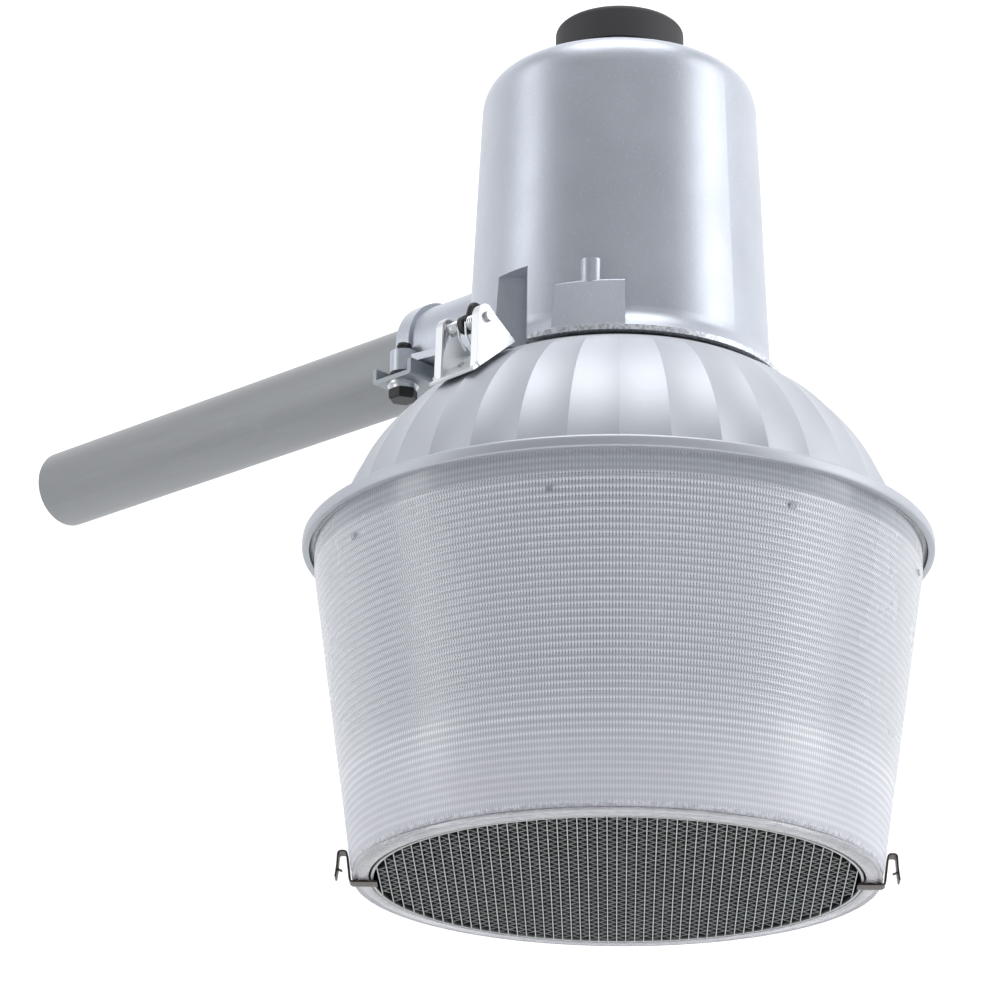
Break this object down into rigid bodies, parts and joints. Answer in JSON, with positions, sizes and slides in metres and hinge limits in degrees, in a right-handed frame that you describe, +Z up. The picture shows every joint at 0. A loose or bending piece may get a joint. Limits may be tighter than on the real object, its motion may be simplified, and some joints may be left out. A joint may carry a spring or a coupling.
{
  "type": "arm-mounted area luminaire",
  "caption": "Outdoor area lamp on a pipe arm: cast ballast housing, fluted reflector, prismatic refractor, louver in its mouth and a photocontrol receptacle on top.",
  "frame": {"origin": "centre of the arm's free end", "axes": "+X along the arm towards the lamp, +Z up along the lamp's vertical axis"},
  "size_m": [0.5686, 0.3052, 0.446],
  "materials": {
    "cast_housing": "satin grey enamel over cast aluminium",
    "arm_steel": "satin grey enamel over steel pipe",
    "reflector_aluminium": "bright hydroformed sheet",
    "refractor_prismatic": "moulded, prisms outside",
    "louver_black": "black, semi-gloss edges",
    "clip_spring": "dark brown spring strip",
    "zinc_plate": "bright zinc plate",
    "galvanised": "galvanised pressed steel",
    "black_steel": "black oxide",
    "black_moulding": "moulded, semi-matt",
    "gasket_pale": "closed-cell sponge",
    "gasket_dark": "soft, dull",
    "contact_brass": "bright",
    "porcelain": "glazed white",
    "lamp_glass": "clear",
    "arc_ceramic": "translucent white",
    "core_steel": "varnished laminations",
    "coil_copper": "varnished winding",
    "capacitor_can": "drawn can",
    "ignitor_case": "potted box",
    "gear_plate_steel": "zinc-coated sheet"
  },
  "bodies": {
    "arm": {"arm_tube": "arm_steel"},
    "housing": {"housing": "cast_housing", "receptacle_gasket": "gasket_pale", "gear_plate": "gear_plate_steel", "gear_plate_screws": "zinc_plate", "lampholder": "porcelain", "lampholder_shell": "contact_brass", "lampholder_contact": "contact_brass", "lampholder_screws": "zinc_plate", "lamp_base": "contact_brass", "lamp_bulb": "lamp_glass", "arc_tube": "arc_ceramic", "arc_tube_frame": "zinc_plate", "ballast_core": "core_steel", "ballast_coils": "coil_copper", "ballast_hanger": "gear_plate_steel", "hanger_screws": "zinc_plate", "core_bolts": "zinc_plate", "core_nuts": "zinc_plate", "capacitor": "capacitor_can", "capacitor_strap": "gear_plate_steel", "ignitor": "ignitor_case", "terminal_block": "black_moulding", "terminal_screws": "contact_brass"},
    "clamp": {"clamp_saddle": "galvanised", "clamp_washers": "zinc_plate", "clamp_lock_washers": "zinc_plate", "clamp_bolts": "black_steel"},
    "receptacle": {"receptacle": "black_moulding", "receptacle_contacts": "contact_brass", "receptacle_plate": "zinc_plate", "receptacle_screws": "zinc_plate"},
    "reflector": {"reflector": "reflector_aluminium", "neck_gasket": "gasket_pale", "refractor_gasket": "gasket_dark", "latch_bracket_left": "zinc_plate", "latch_bracket_right": "zinc_plate", "latch_pin_left": "zinc_plate", "latch_pin_right": "zinc_plate", "latch_spring_left": "black_steel", "latch_spring_right": "black_steel", "latch_rivets": "zinc_plate"},
    "refractor": {"refractor": "refractor_prismatic"},
    "louver": {"louver_ring": "louver_black", "louver_slats": "louver_black", "louver_clip_left": "clip_spring", "louver_clip_right": "clip_spring"},
    "latch_left": {"latch_hook_left": "black_steel"},
    "latch_right": {"latch_hook_right": "black_steel"}
  },
  "joints": [
    {"name": "roll_on_arm", "type": "hinge", "parent": "arm", "child": "housing", "pos_m": [0.3, 0, 0], "axis": [1, 0, 0], "range_deg": [-8, 8]},
    {"name": "clamp_loosen", "type": "slide", "parent": "housing", "child": "clamp", "axis": [0, 0, -1], "range_m": [0, 0.004]},
    {"name": "receptacle_turn", "type": "hinge", "parent": "housing", "child": "receptacle", "pos_m": [0.416, 0, 0.13], "axis": [0, 0, 1], "range_deg": [-170, 170]},
    {"name": "optics_lower", "type": "slide", "parent": "housing", "child": "reflector", "axis": [0, 0, -1], "range_m": [0, 0.22]},
    {"name": "refractor_turn", "type": "hinge", "parent": "reflector", "child": "refractor", "pos_m": [0.416, 0, -0.14], "axis": [0, 0, 1], "range_deg": [-22.5, 22.5]},
    {"name": "louver_drop", "type": "slide", "parent": "refractor", "child": "louver", "axis": [0, 0, -1], "range_m": [0, 0.04]},
    {"name": "latch_left_open", "type": "hinge", "parent": "reflector", "child": "latch_left", "pos_m": [0.42139, 0.10276, -0.0462], "axis": [-0.9986, 0.0523, 0], "range_deg": [0, 70], "stiffness_Nm_per_rad": 0.05, "springref_deg": -28.65},
    {"name": "latch_right_open", "type": "hinge", "parent": "reflector", "child": "latch_right", "pos_m": [0.41062, -0.10276, -0.0462], "axis": [0.9986, -0.0523, 0], "range_deg": [0, 70], "stiffness_Nm_per_rad": 0.05, "springref_deg": -28.65}
  ]
}
